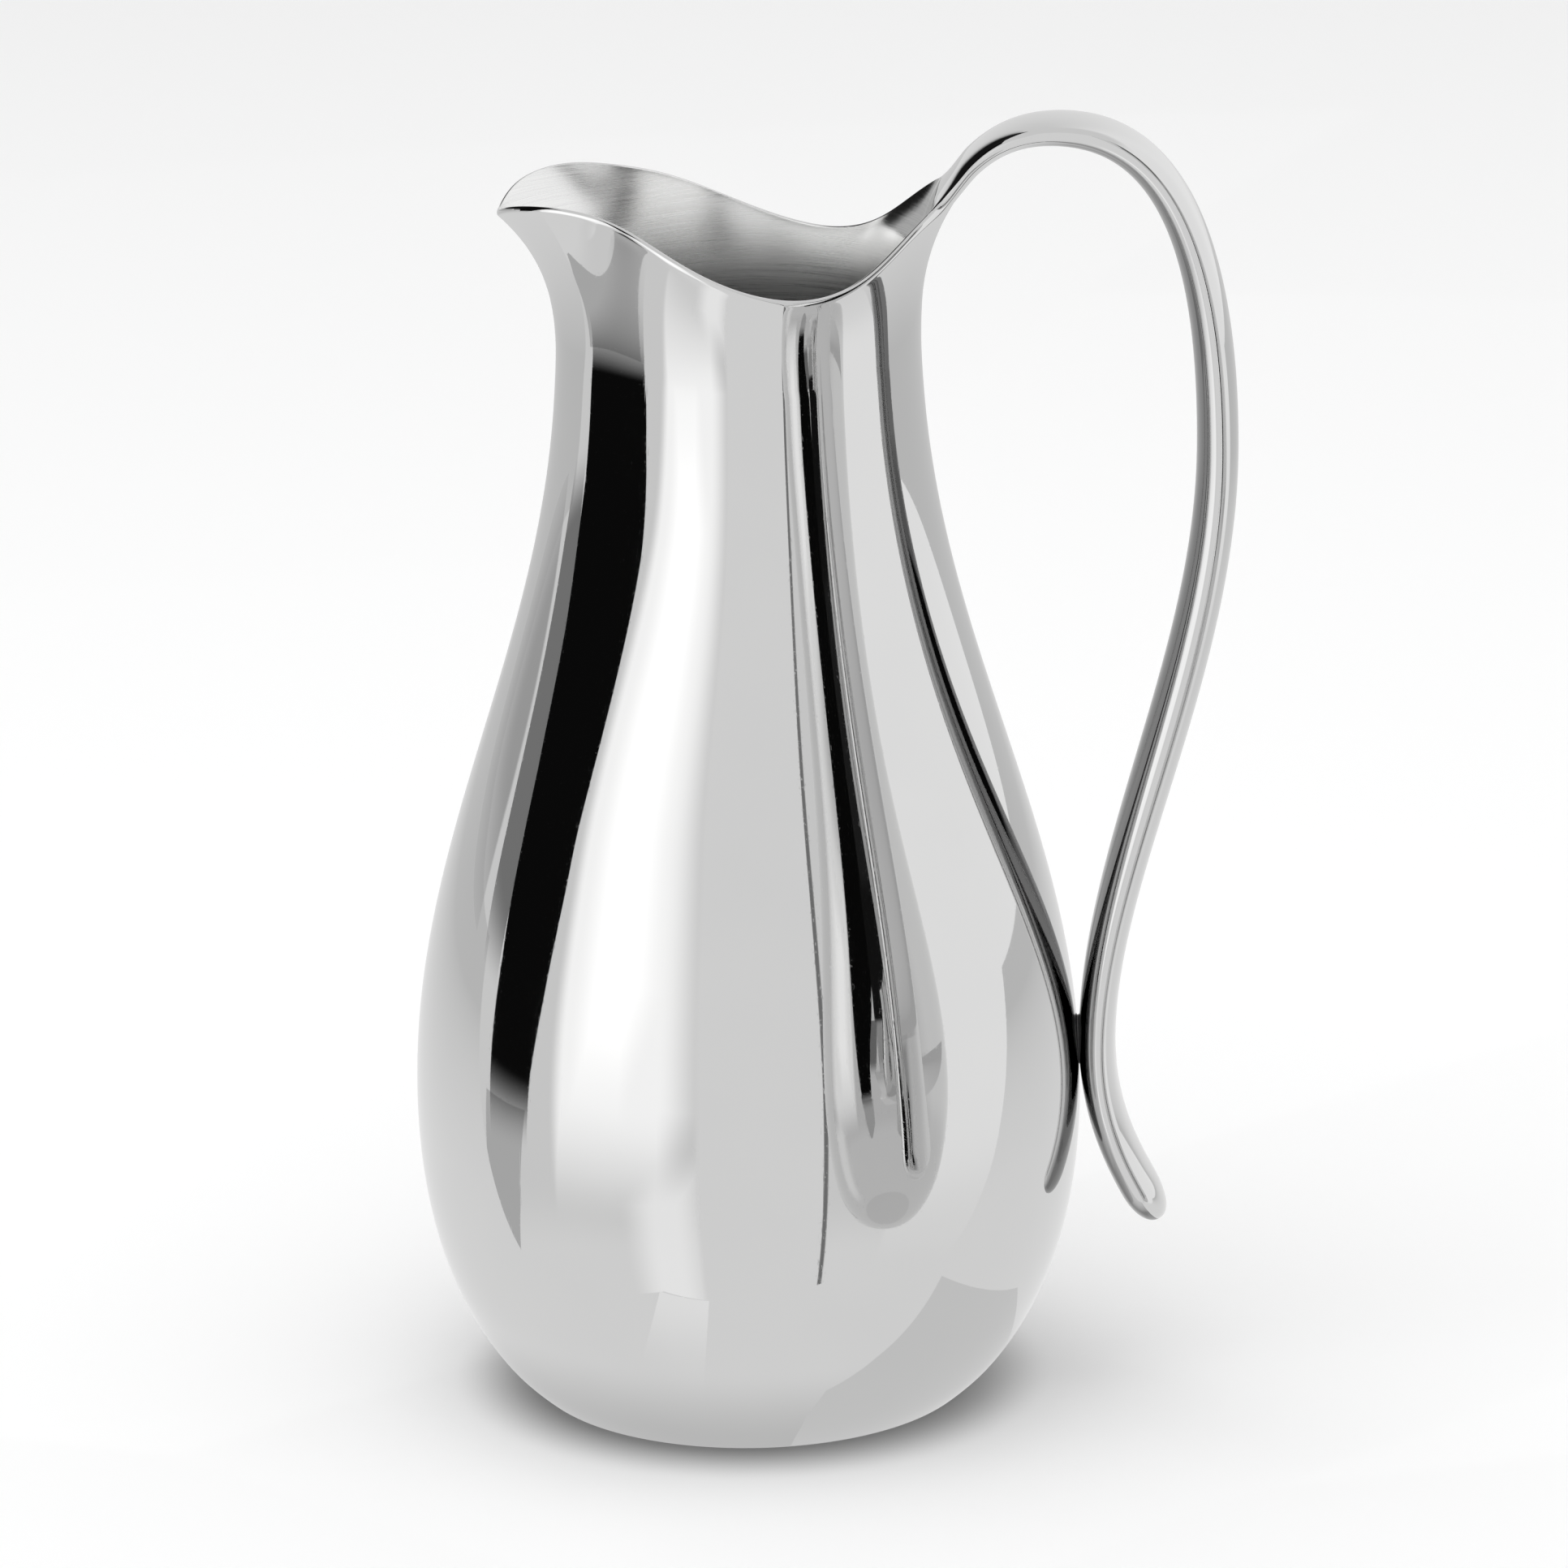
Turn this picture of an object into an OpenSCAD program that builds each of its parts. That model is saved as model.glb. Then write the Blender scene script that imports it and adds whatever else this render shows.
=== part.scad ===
// Polished metal water pitcher: a drawn pear-shaped vessel with a pulled spout, and a hollow
// handle that grows out of the back of the rim, arches over and comes back to rest on the belly.
// Frame: origin at the centre of the resting plane, +Z up, +X towards the handle, spout at -X.
// The pitcher is symmetric about the XZ plane.

/* [Body] */
// Thickness of the drawn sheet
wall = 1.2; // [0.8:0.1:1.6]
// Radius of the edge that the vessel stands on
base_r = 47.6; // [44:0.2:50]
// Largest radius of the belly
belly_r = 71.3; // [66:0.1:74]
// Height of the belly's widest ring
belly_z = 66; // [60:1:72]
// Radius of the neck
neck_r = 38.4; // [36:0.1:41]
// Height of the neck's narrowest ring
neck_z = 233.5; // [228:0.5:236]

/* [Base] */
// Radius of the pressed base disc
disc_r = 45.4; // [42:0.1:45.4]
// Width of the flat ring that the disc stands on
ring_w = 7; // [4:0.5:10]
// Height of the raised centre of the base
dome_h = 2.4; // [1.5:0.1:4]

/* [Handle] */
// Width of the handle along its length
handle_w = 20; // [16:0.5:24]
// Width of the handle where it leaves the rim
root_w = 27; // [22:0.5:30]
// Sheet thickness of the two handle pressings
handle_wall = 1.2; // [0.8:0.1:1.6]
// Radius of the solder pad between handle and belly
pad_r = 3.5; // [2.5:0.1:4.5]

/* [Hidden] */

silver = [0.86, 0.87, 0.88];
satin = [0.72, 0.73, 0.75];
solder = [0.66, 0.66, 0.68];

// ---- curves ----

// Point at t on a cubic Bezier arc with the control points p
function bezier(p, t) =
    let (u = 1 - t)
    u*u*u*p[0] + 3*u*u*t*p[1] + 3*u*t*t*p[2] + t*t*t*p[3];

// Value at position x of a smooth curve through the evenly spaced values v
function smooth(v, x) =
    let (n = len(v) - 1,
         i = min(max(floor(x), 0), n - 1), f = x - i,
         a = v[max(i - 1, 0)], b = v[i], c = v[i + 1], d = v[min(i + 2, n)])
    0.5*(2*b + (c - a)*f + (2*a - 5*b + 4*c - d)*f*f + (3*b - a - 3*c + d)*f*f*f);

// ---- vessel outline, as [radius, height] ----

// From the resting edge out to the belly's widest ring
belly_arc = [[base_r, 0], [base_r + 17.8, 16], [belly_r, belly_z - 25.5], [belly_r, belly_z]];
// From the belly up to the neck's narrowest ring
neck_arc = [[belly_r, belly_z], [belly_r, belly_z + 59], [neck_r, neck_z - 67], [neck_r, neck_z]];

// The flare of the mouth starts here on the neck arc
flare_t = 0.958;
flare_z = bezier(neck_arc, flare_t)[1];
// The neck still narrows slightly between the start of the flare and neck_z
neck_curve = (bezier(neck_arc, flare_t)[0] - neck_r)/pow(neck_z - flare_z, 2);
function neck_radius(z) = neck_r + neck_curve*pow(max(neck_z - z, 0), 2);

// Rim of the mouth: [x, y, z] every 15 degrees from the handle round to the spout's tip
rim = [[46.5, 0, 265], [45.2, 11.5, 263], [38.8, 21, 257.5], [29.7, 29, 250], [20, 34.7, 246.6],
       [10.2, 38.3, 247.2], [0, 39.5, 250.3], [-9.8, 37.4, 254.7], [-18.8, 31.9, 259],
       [-28, 26, 261.9], [-38.5, 22.2, 262.6], [-47.4, 13.5, 260.4], [-50.2, 0, 257.6]];
rim_step = 15;
// The rim with its mirror image on both ends, so that the curve runs on smoothly there
rim_padded = concat([[rim[1][0], -rim[1][1], rim[1][2]]], rim, [[rim[11][0], -rim[11][1], rim[11][2]]]);
function rim_at(angle) = smooth(rim_padded, angle/rim_step + 1);
function rim_point(angle) =
    let (p = rim_at(angle <= 180 ? angle : 360 - angle))
    [p[0], angle <= 180 ? p[1] : -p[1], p[2]];

columns = 56;
belly_rows = 9;
neck_rows = 12;
flare_rows = 5;

// Outer outline below the flare; the first point rounds the resting edge
outline = concat([[base_r - 0.9, 0]],
                 [for (i = [0:belly_rows - 1]) bezier(belly_arc, i/belly_rows) + [0, i == 0 ? 0.7 : 0]],
                 [for (i = [0:neck_rows]) bezier(neck_arc, flare_t*i/neck_rows)]);

// A horizontal ring of the vessel, inset by the wall for its inner side
function ring(p, inset) = [for (k = [0:columns - 1]) let (a = 360*k/columns)
    [(p[0] - inset)*cos(a), (p[0] - inset)*sin(a), p[1]]];

// A ring of the flaring mouth at the share f of the way up to the rim
function flare_ring(f, inset) = [for (k = [0:columns - 1])
    let (a = 360*k/columns, tip = rim_point(a), away = [cos(a), sin(a)],
         push = [tip[0], tip[1]] - neck_radius(tip[2])*away,
         z = flare_z + f*(tip[2] - flare_z),
         xy = (neck_radius(z) - inset)*away + pow(f, 3)*push)
    [xy[0], xy[1], z]];

// Joins rings of equal size into a tube that closes on itself
function tube_faces(rings, n) = [for (i = [0:rings - 1], k = [0:n - 1])
    let (j = (i + 1) % rings, m = (k + 1) % n)
    each [[i*n + k, j*n + k, j*n + m], [i*n + k, j*n + m, i*n + m]]];

// Drawn in one piece: belly, neck, mouth and spout
module body_shell() {
    outer = concat([for (p = outline) ring(p, 0)],
                   [for (i = [1:flare_rows]) flare_ring(i/flare_rows, 0)]);
    inner = concat([for (i = [flare_rows:-1:1]) flare_ring(i/flare_rows, wall)],
                   [for (i = [len(outline) - 1:-1:0]) ring(outline[i], wall)]);
    rings = concat(outer, inner);
    color(silver)
        polyhedron(points = [for (r = rings) each r], faces = tube_faces(len(rings), columns));
}

// Pressed disc that closes the bottom; it stands on a flat ring, and its centre is raised
module base_disc() {
    color(satin) rotate_extrude($fn = 96) polygon([
        [0, dome_h], [disc_r - ring_w - 4, dome_h], [disc_r - ring_w, 0], [disc_r, 0],
        [disc_r, wall], [disc_r - ring_w + 0.6, wall], [disc_r - ring_w - 3.4, dome_h + wall],
        [0, dome_h + wall]]);
}

// Seam of solder in the corner between the base disc and the vessel
module base_solder() {
    color(solder) rotate_extrude($fn = 96) polygon([
        [disc_r - 1.6, wall], [disc_r + 1.9, wall], [disc_r + 3.6, wall + 2.2]]);
}

// ---- handle ----

// Middle of the handle in the XZ plane, as four Bezier arcs from the rim to the tail
handle_arcs = [
    [[41, 255.4], [44.3, 262.8], [51, 275.4], [66.4, 275.4]],
    [[66.4, 275.4], [76.8, 275.4], [100.8, 272.5], [100.8, 208]],
    [[100.8, 208], [100.8, 160], [75.3, 115.5], [75.3, 76.5]],
    [[75.3, 76.5], [75.3, 58.5], [82.2, 46.8], [88.6, 36.6]]];
handle_steps = [6, 14, 16, 14];
// The pressings start this far along the first arc, where they clear the rim
root_t = 0.42;

// Thickness at even steps from the rim to the tail
thickness = [4.4, 6.6, 7.8, 8.6, 8.9, 9.1, 8.9, 8.2, 7.8, 8.0];

// Place on arc a of its ring at the share f: the first arc starts at root_t, and the rings of
// the last one crowd together towards the rounded tail
function handle_t(a, f) = a == 0 ? root_t + (1 - root_t)*f : a == 3 ? 1 - pow(1 - f, 2) : f;
handle_ts = [for (a = [0:3], i = [0:handle_steps[a] - 1]) [a, handle_t(a, i/handle_steps[a])]];
handle_path = concat([for (t = handle_ts) bezier(handle_arcs[t[0]], t[1])], [handle_arcs[3][3]]);
handle_n = len(handle_path);

// Length of the path up to each of its points
function lengths(p) = [for (i = 0, s = 0; i < len(p); i = i + 1,
    s = i < len(p) ? s + norm(p[i] - p[i - 1]) : s) s];
handle_s = lengths(handle_path);
handle_length = handle_s[handle_n - 1];

// Half of the width at s, wide at the root and rounded at the tail
tail_round = 9;
function tail_scale(s) =
    let (f = max(0, 1 - (handle_length - s)/tail_round)) sqrt(max(1 - f*f, 0.04));
function half_width(s) =
    (handle_w/2 + (root_w - handle_w)/2*exp(-s/6))*tail_scale(s);
function half_thickness(s) =
    smooth(thickness, (len(thickness) - 1)*s/handle_length)/2*tail_scale(s);

// Unit vector square to the path at point i, on the side that faces out of the loop
function normal_at(i) =
    let (a = handle_path[max(i - 1, 0)], b = handle_path[min(i + 1, handle_n - 1)], d = b - a)
    [-d[1], d[0]]/norm(d);

arc_points = 10;
// The cavity between the pressings stops short of the tail
cavity_end = 14;

// Section of one pressing at point i: an outer arc, and an inner one that the wall leaves, or a
// straight line where the pressing is solid.
// side is 1 for the face turned out of the loop and -1 for the face turned in.
function pressing_ring(i, side) =
    let (s = handle_s[i], w = half_width(s), h = half_thickness(s)*(side > 0 ? 0.92 : 1.08),
         hollow = handle_length - s > cavity_end,
         wi = max(w - handle_wall, 0.6*w), hi = h - handle_wall,
         n = normal_at(i), c = handle_path[i],
         outer = [for (k = [0:arc_points]) let (a = 180*k/arc_points) [w*cos(a), h*sin(a)]],
         inner = [for (k = [arc_points:-1:0]) let (a = 180*k/arc_points)
             hollow ? [wi*cos(a), hi*sin(a)] : [wi*(1 - a/90), 0]])
    [for (q = concat(outer, inner))
        [c[0] + side*q[1]*n[0], q[0], c[1] + side*q[1]*n[1]]];

// Faces that close the ring of n points from point e on, in a strip from its outer arc to the rest
function cap_faces(e, n) = [for (k = [0:n/2 - 2])
    let (a = e + k, b = a + 1, c = e + n - 2 - k, d = c + 1)
    each k < n/4 - 1 ? [[a, b, d], [b, c, d]] : [[a, b, c], [a, c, d]]];

// Turns every face over, for a solid that would come out inside out
function turned(faces) = [for (f = faces) [for (k = [len(f) - 1:-1:0]) f[k]]];

// Faces of a solid swept through rings of n points
function sweep_faces(rings, n) = concat(
    cap_faces(0, n),
    [for (i = [0:rings - 2], k = [0:n - 1]) let (m = (k + 1) % n)
        each [[i*n + k, (i + 1)*n + k, (i + 1)*n + m], [i*n + k, (i + 1)*n + m, i*n + m]]],
    turned(cap_faces((rings - 1)*n, n)));

module pressing(side) {
    rings = [for (i = [0:handle_n - 1]) pressing_ring(i, side)];
    n = 2*(arc_points + 1);
    faces = sweep_faces(handle_n, n);
    polyhedron(points = [for (r = rings) each r], faces = side > 0 ? turned(faces) : faces);
}

// Pressing that forms the face turned out of the loop
module handle_outer() {
    color(silver) pressing(1);
}

// Pressing that forms the face turned towards the vessel
module handle_inner() {
    color(silver) pressing(-1);
}

// ---- solder at the handle's two joints ----

// Saddle of solder along the back of the rim, thickest under the handle's root
saddle_angle = 27;
saddle_steps = 18;
saddle_sides = 10;
module root_solder() {
    rings = [for (i = [0:saddle_steps])
        let (a = saddle_angle*(2*i/saddle_steps - 1),
             p = rim_point(a < 0 ? a + 360 : a),
             r = 0.5 + 1.7*pow(cos(90*a/saddle_angle), 2),
             out = [cos(a), sin(a)])
        [for (k = [0:saddle_sides - 1]) let (b = 360*k/saddle_sides)
            [p[0] - (wall/2 + r*cos(b))*out[0], p[1] - (wall/2 + r*cos(b))*out[1], p[2] + r*sin(b)]]];
    color(solder)
        polyhedron(points = [for (r = rings) each r], faces = sweep_faces(saddle_steps + 1, saddle_sides));
}

// Small pad of solder where the handle rests on the belly
module belly_solder() {
    color(solder) translate([belly_r - 0.7, 0, handle_arcs[3][0][1]])
        rotate([0, 90, 0]) cylinder(r = pad_r, h = 1.4, $fn = 48);
}

body_shell();
base_disc();
base_solder();
handle_outer();
handle_inner();
root_solder();
belly_solder();
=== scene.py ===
"""Looks of the polished water pitcher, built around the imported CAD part.

The vessel, its rim, the root of the handle and the handle itself are modelled as one smooth
subdivision surface, because in the photograph the joints look filed flush and polished over.
The surface is then parted along the CAD's seams, so that each CAD piece has its own piece here.
Lengths are in millimetres until mesh_object() turns them into metres.
"""

import math

import bpy
import numpy as np
from mathutils import Matrix, Vector


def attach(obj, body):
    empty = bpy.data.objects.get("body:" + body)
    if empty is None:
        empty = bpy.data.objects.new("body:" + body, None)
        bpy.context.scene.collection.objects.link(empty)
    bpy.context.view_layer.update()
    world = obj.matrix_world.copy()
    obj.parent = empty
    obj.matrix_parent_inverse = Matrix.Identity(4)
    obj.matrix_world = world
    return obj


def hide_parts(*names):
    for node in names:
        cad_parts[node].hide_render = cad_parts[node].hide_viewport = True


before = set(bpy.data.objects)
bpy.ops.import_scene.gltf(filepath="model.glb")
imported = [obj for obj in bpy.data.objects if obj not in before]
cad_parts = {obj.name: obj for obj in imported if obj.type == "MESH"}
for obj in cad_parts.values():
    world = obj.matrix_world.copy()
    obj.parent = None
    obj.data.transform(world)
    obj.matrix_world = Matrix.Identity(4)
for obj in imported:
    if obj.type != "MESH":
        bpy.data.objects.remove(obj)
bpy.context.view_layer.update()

MM = 0.001

# ---- dimensions, as in the CAD ----
# The body's and the handle's arcs, the rim and the thicknesses started as fits to the outline in the
# photograph, made outside this script, and were then rounded and partly changed by hand.

WALL = 1.2
BASE_R = 47.6
BELLY_R, BELLY_Z = 71.3, 66.0
NECK_R, NECK_Z = 38.4, 233.5
BELLY_ARC = [(BASE_R, 0), (BASE_R + 17.8, 16), (BELLY_R, BELLY_Z - 25.5), (BELLY_R, BELLY_Z)]
NECK_ARC = [(BELLY_R, BELLY_Z), (BELLY_R, BELLY_Z + 59), (NECK_R, NECK_Z - 67), (NECK_R, NECK_Z)]
FLARE_T = 0.958

# The neck is drawn in at two places beside the spout, only here and not in the CAD: how deep, at
# what angle from the handle, how widely in degrees, and over which heights it comes in
PINCH, PINCH_AT, PINCH_SPREAD = 3.8, 128, 30
PINCH_LOW, PINCH_RISE = 135, 72

# Rim every 15 degrees from the handle round to the spout's tip
RIM = [(46.5, 0, 265), (45.2, 11.5, 263), (38.8, 21, 257.5), (29.7, 29, 250), (20, 34.7, 246.6),
       (10.2, 38.3, 247.2), (0, 39.5, 250.3), (-9.8, 37.4, 254.7), (-18.8, 31.9, 259),
       (-28, 26, 261.9), (-38.5, 22.2, 262.6), (-47.4, 13.5, 260.4), (-50.2, 0, 257.6)]
RIM_STEP = 15

DISC_R, RING_W, DOME_H = 45.4, 7.0, 2.4

# The handle's centre line, as [x, z]
HANDLE_ARCS = [
    [(41, 255.4), (44.3, 262.8), (51, 275.4), (66.4, 275.4)],
    [(66.4, 275.4), (76.8, 275.4), (100.8, 272.5), (100.8, 208)],
    [(100.8, 208), (100.8, 160), (75.3, 115.5), (75.3, 76.5)],
    [(75.3, 76.5), (75.3, 58.5), (82.2, 46.8), (88.6, 36.6)]]
ROOT_T = 0.42             # share of the first arc that lies inside the rim's root
HANDLE_W, ROOT_W, ROOT_TAPER = 20.0, 27.0, 6.0
# Thickness at even steps along the centre line, from the root to the tail
THICKNESS = [4.4, 6.6, 7.8, 8.6, 8.9, 9.1, 8.9, 8.2, 7.8, 8.0]
TAIL_ROUND = 9.0
TOP_POWER, TOP_SHARE = 2.5, 0.46      # roundness of each face, and its share of the thickness
UNDER_POWER, UNDER_SHARE = 2.1, 0.54


# ---- curves ----

def bezier(points, t):
    p0, p1, p2, p3 = (np.array(p, float) for p in points)
    u = 1 - t
    return u**3*p0 + 3*u*u*t*p1 + 3*u*t*t*p2 + t**3*p3


def spline(values):
    """A smooth curve through evenly spaced values, as a function of the place among them."""
    v = np.array(values, float)
    n = len(v)
    system = np.eye(n)
    bend = np.zeros_like(v)
    for i in range(1, n - 1):
        system[i, i - 1:i + 2] = 1, 4, 1
        bend[i] = 6*(v[i - 1] - 2*v[i] + v[i + 1])
    m = np.linalg.solve(system, bend)

    def at(x):
        i = min(max(int(math.floor(x)), 0), n - 2)
        f = x - i
        g = 1 - f
        return g*v[i] + f*v[i + 1] + (g**3 - g)*m[i]/6 + (f**3 - f)*m[i + 1]/6

    return at


def ease(x):
    x = min(max(x, 0.0), 1.0)
    return x*x*(3 - 2*x)


# ---- vessel ----

FLARE_START = bezier(NECK_ARC, FLARE_T)
FLARE_Z = FLARE_START[1]
NECK_CURVE = (FLARE_START[0] - NECK_R)/(NECK_Z - FLARE_Z)**2

half_rim = [np.array(p, float) for p in RIM]
mirrored = [p*(1, -1, 1) for p in half_rim[-2:0:-1]]
whole_rim = half_rim + mirrored
rim_curve = spline(whole_rim*3)


def rim_point(angle):
    """Point of the rim; angle is in degrees round from the handle."""
    return rim_curve(len(whole_rim) + (angle % 360)/RIM_STEP)


def neck_radius(z):
    return NECK_R + NECK_CURVE*max(NECK_Z - z, 0)**2


def draw_in(angle, z):
    """How far the neck is drawn in on the two sides of the spout."""
    side = abs((angle + 180) % 360 - 180)
    return PINCH*math.exp(-((side - PINCH_AT)/PINCH_SPREAD)**2)*ease((z - PINCH_LOW)/PINCH_RISE)


def flare_point(angle, f):
    """Outside of the flaring mouth at the share f of the way up to the rim."""
    tip = rim_point(angle)
    a = math.radians(angle)
    away = np.array([math.cos(a), math.sin(a)])
    push = tip[:2] - neck_radius(tip[2])*away
    z = FLARE_Z + f*(tip[2] - FLARE_Z)
    xy = (neck_radius(z) - draw_in(angle, z)*(1 - f*f))*away + f**3*push
    return np.array([xy[0], xy[1], z])


def flare_normal(angle, f):
    across = flare_point(angle + 0.5, f) - flare_point(angle - 0.5, f)
    up = flare_point(angle, f + 0.01) - flare_point(angle, f - 0.01)
    n = np.cross(across, up)
    return n/np.linalg.norm(n)


COLUMNS = 72
TURN = 360/COLUMNS
ROOT_COLUMNS = 4          # the handle grows out of the columns from -4 to 4

# Outline below the flare, as [radius, height]
foot = [(BASE_R - 0.9, 0.0), (BASE_R + 0.05, 0.55)]
BELLY_ROWS, NECK_ROWS = 10, 19
outline = (foot + [tuple(bezier(BELLY_ARC, i/BELLY_ROWS)) for i in range(1, BELLY_ROWS)]
           + [tuple(bezier(NECK_ARC, FLARE_T*i/NECK_ROWS)) for i in range(NECK_ROWS + 1)])
FLARE_SHARES = [0.14, 0.28, 0.42, 0.55, 0.67, 0.78, 0.87, 0.94]

# Under the handle's root the flare runs further out and ends lower, to meet the handle's underside
ROOT_LOW = 261.2
ROOT_SPREAD = 38.0        # degrees to each side
ROOT_PUSH = 1.9
SWELL_LOW, SWELL_RISE = 240, 21   # heights over which that comes in
# On the mouth's side, the handle's flat top starts on a straight line across the back of the rim
CHORD = np.array([42.0, 14.3, 262.0])
CHORD_BOW = 0.4
CHORD_FROM = 0.6          # share of the flare at which the inside starts to turn towards that line


def root_weight(angle):
    away = min(angle % 360, 360 - angle % 360)
    return math.cos(math.pi/2*min(away/ROOT_SPREAD, 1))**2


def outer_point(k, f):
    """Outside of the flare in column k, with the swelling under the handle."""
    angle = k*TURN
    end = min(1.0, (ROOT_LOW - FLARE_Z)/(rim_point(angle)[2] - FLARE_Z))
    if abs(signed(k)) > ROOT_COLUMNS:
        end = 1.0
    p = flare_point(angle, f*end)
    climb = max(p[2] - SWELL_LOW, 0)/SWELL_RISE
    p[0] += ROOT_PUSH*root_weight(angle)*climb**1.5
    return p


def inner_point(k, f):
    """Inside of the flare in column k, drawn to the straight line at the handle's root."""
    angle = k*TURN
    p = flare_point(angle, f) - WALL*flare_normal(angle, f)
    j = signed(k)
    if abs(j) <= ROOT_COLUMNS:
        share = j/ROOT_COLUMNS
        top = flare_point(angle, 1) - WALL*flare_normal(angle, 1)
        end = np.array([CHORD[0] + CHORD_BOW*share*share, CHORD[1]*share, CHORD[2]])
        p = p + (end - top)*max((f - CHORD_FROM)/(1 - CHORD_FROM), 0)**2
    return p


def signed(k):
    k %= COLUMNS
    return k if k <= COLUMNS/2 else k - COLUMNS


# ---- handle ----

ARC_STEPS = 200
path = []
for number, arc in enumerate(HANDLE_ARCS):
    start = ROOT_T if number == 0 else 0.0
    path += [bezier(arc, start + (1 - start)*i/ARC_STEPS) for i in range(ARC_STEPS)]
path = np.array(path + [bezier(HANDLE_ARCS[3], 1.0)])
path_s = np.concatenate([[0], np.cumsum(np.linalg.norm(np.diff(path, axis=0), axis=1))])
HANDLE_LENGTH = path_s[-1]
thickness_at = spline(THICKNESS)


def path_point(s):
    return np.array([np.interp(s, path_s, path[:, 0]), np.interp(s, path_s, path[:, 1])])


REACH = 0.8               # to each side along the path, to find its direction


def path_normal(s):
    """Unit vector square to the path, on the side that faces out of the loop."""
    d = path_point(min(s + REACH, HANDLE_LENGTH)) - path_point(max(s - REACH, 0))
    n = np.array([-d[1], d[0]])
    return n/np.linalg.norm(n)


def half_width(s):
    return HANDLE_W/2 + (ROOT_W - HANDLE_W)/2*math.exp(-s/ROOT_TAPER)


def section_point(s, across, side):
    """Point of the handle's surface: across is from -1 to 1 over its width, and side is 1 for the
    face turned out of the loop, -1 for the face turned in and 0 for the seam between them."""
    w = half_width(s)
    start = HANDLE_LENGTH - TAIL_ROUND
    forward = max(0.0, s - start)/TAIL_ROUND
    reach = min(math.hypot(across, forward), 1.0)
    power, share = (TOP_POWER, TOP_SHARE) if side > 0 else (UNDER_POWER, UNDER_SHARE)
    t = thickness_at(min(s, HANDLE_LENGTH)/HANDLE_LENGTH*(len(THICKNESS) - 1))
    rise = side*share*t*max(1 - reach**power, 0)**(1/power)
    c, n = path_point(s), path_normal(s)
    return np.array([c[0] + rise*n[0], across*w, c[1] + rise*n[1]])


COLUMN_STEP = 18          # degrees round the section from one of the handle's columns to the next
TAIL_POWER = (TOP_POWER + UNDER_POWER)/2
TAIL_FAN = 45             # degrees to each side that the tail's last row spans


def spread(j, power):
    """Place of column j across the handle's width, crowding towards the sides."""
    return math.copysign(abs(math.sin(math.radians(COLUMN_STEP*j)))**(2/power), j)


def tail_place(q, j, edge):
    """(share of the width, forward share) of column j in the tail's row q, from 0 to 1. The rows
    bow out, so that the last one follows the rounded end."""
    c = ROOT_COLUMNS
    side = math.radians(90 - TAIL_FAN*q)
    last = math.sin(math.radians(TAIL_FAN*j/c))/math.sin(math.radians(TAIL_FAN))
    across = (1 - q)*spread(j, TAIL_POWER)/spread(c, TAIL_POWER) + q*last
    low, high = math.cos(side), q
    forward = low + (high - low)*(1 - (j/c)**2)
    return edge*across*math.sin(side), edge*forward


# ---- one surface ----

verts, faces, zones = [], [], []
ZONE_COUNT = 5
VESSEL, INSIDE, ROOT, OUT_FACE, IN_FACE = range(ZONE_COUNT)


def add(p):
    verts.append(p)
    return len(verts) - 1


def face(a, b, c, d, zone):
    faces.append((a, b, c, d))
    zones.append(zone)


outer, inner = [], []
for r, z in outline:
    for grid, inset in ((outer, 0.0), (inner, WALL)):
        ring = []
        for k in range(COLUMNS):
            a, radius = math.radians(k*TURN), r - inset - draw_in(k*TURN, z)
            ring.append(add(np.array([radius*math.cos(a), radius*math.sin(a), z])))
        grid.append(ring)


def below_rim(k, depth):
    """Share of the flare that lies the given depth under the rim in column k."""
    length = np.linalg.norm(flare_point(k*TURN, 1) - flare_point(k*TURN, 0.9))/0.1
    return 1 - depth/length


# How far below the rim the last two rows lie, outside and inside, to keep its edge crisp
LAST_OUT, LAST_IN = 1.4, 1.1
EDGE_OUT, EDGE_IN = 0.5, 0.22
RIM_CROWN = 0.15

for f in FLARE_SHARES:
    share = f/FLARE_SHARES[-1]
    outer.append([add(outer_point(k, share*below_rim(k, LAST_OUT))) for k in range(COLUMNS)])
    inner.append([add(inner_point(k, share*below_rim(k, LAST_IN))) for k in range(COLUMNS)])
outer.append([add(outer_point(k, 1.0 if abs(signed(k)) < ROOT_COLUMNS else below_rim(k, EDGE_OUT)))
              for k in range(COLUMNS)])
inner.append([add(inner_point(k, 1.0 if abs(signed(k)) <= ROOT_COLUMNS else below_rim(k, EDGE_IN)))
              for k in range(COLUMNS)])

for grid, flip, zone in ((outer, False, VESSEL), (inner, True, INSIDE)):
    for low, high in zip(grid, grid[1:]):
        for k in range(COLUMNS):
            m = (k + 1) % COLUMNS
            quad = (low[k], low[m], high[m], high[k])
            face(*(quad[::-1] if flip else quad), zone)
for k in range(COLUMNS):
    m = (k + 1) % COLUMNS
    face(outer[0][m], outer[0][k], inner[0][k], inner[0][m], VESSEL)

# The rounded edge of the rim
rim_top = {}
for k in range(COLUMNS):
    if abs(signed(k)) >= ROOT_COLUMNS:
        angle = k*TURN
        rim_top[k] = add(flare_point(angle, 1) - 0.5*WALL*flare_normal(angle, 1)
                         + np.array([0, 0, RIM_CROWN]))
for k in range(COLUMNS):
    m = (k + 1) % COLUMNS
    if k in rim_top and m in rim_top:
        face(outer[-1][k], outer[-1][m], rim_top[m], rim_top[k], VESSEL)
        face(rim_top[k], rim_top[m], inner[-1][m], inner[-1][k], VESSEL)

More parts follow.
